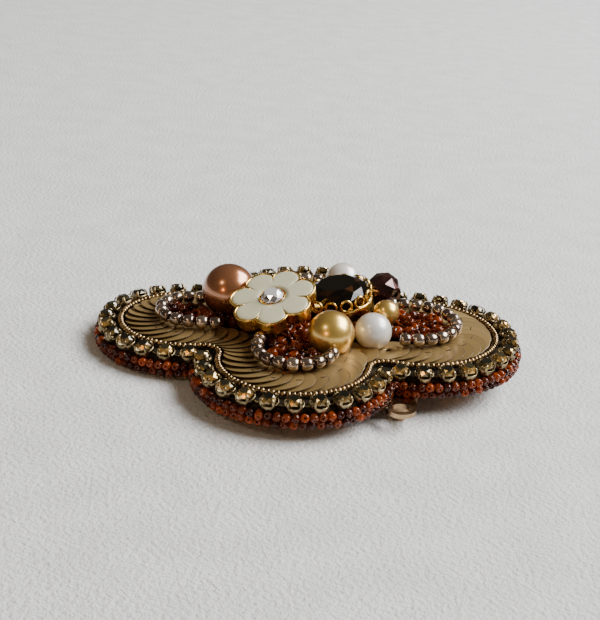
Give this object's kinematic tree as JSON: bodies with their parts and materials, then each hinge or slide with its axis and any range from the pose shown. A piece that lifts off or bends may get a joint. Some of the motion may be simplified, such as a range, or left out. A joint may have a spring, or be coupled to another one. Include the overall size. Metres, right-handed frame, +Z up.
{
  "type": "beaded brooch",
  "caption": "Lobed felt brooch with a cup chain edge, sequins, seed beads, pearls, an enamel flower and a faceted stone, lying on its pin back.",
  "frame": {"origin": "middle of the whole brooch seen from above, at the height of the surface that it lies on", "axes": "+X runs from the left lobe to the right lobe along the longest side, +Y from the front lobe to the back lobe, +Z up and out of the decorated face"},
  "size_m": [0.0612, 0.0509, 0.0125],
  "materials": {
    "leather": "matt brown leather",
    "felt": "dark brown felt",
    "amber_beads": "clear red-amber glass",
    "chain_metal": "pale antique gold plating",
    "olive_crystal": "smoky olive cut glass",
    "purl": "coiled bronze-gold wire",
    "sequin": "satin champagne beige",
    "silver_beads": "silvery bronze metal-coated glass",
    "copper_pearl": "copper pearl lacquer",
    "gold_pearl": "gold pearl lacquer",
    "white_pearl": "white pearl lacquer",
    "burgundy_glass": "dark burgundy cut glass",
    "gold_metal": "bright gold plating",
    "ivory_enamel": "glossy ivory enamel",
    "clear_crystal": "clear cut glass",
    "smoky_glass": "black-brown cut glass",
    "pin_metal": "pale gold plating"
  },
  "bodies": {
    "root": {"leather_backing": "leather", "felt_base": "felt", "edge_beads": "amber_beads", "cup_chain": "chain_metal", "chain_stones": "olive_crystal", "purl_wire": "purl", "sequins": "sequin", "bead_loop_left": "silver_beads", "bead_loop_front": "silver_beads", "bead_loop_right": "silver_beads", "bead_loop_back": "silver_beads", "amber_fill_left": "amber_beads", "amber_fill_front": "amber_beads", "amber_fill_right": "amber_beads", "amber_fill_back": "amber_beads", "amber_fill_middle": "amber_beads", "copper_pearl": "copper_pearl", "gold_pearl": "gold_pearl", "white_pearl": "white_pearl", "small_gold_pearl": "gold_pearl", "back_white_pearl": "white_pearl", "faceted_bead": "burgundy_glass", "flower_casting": "gold_metal", "flower_enamel": "ivory_enamel", "flower_crystal": "clear_crystal", "gallery_setting": "gold_metal", "smoky_stone": "smoky_glass", "pin_back": "pin_metal"}
  },
  "joints": []
}
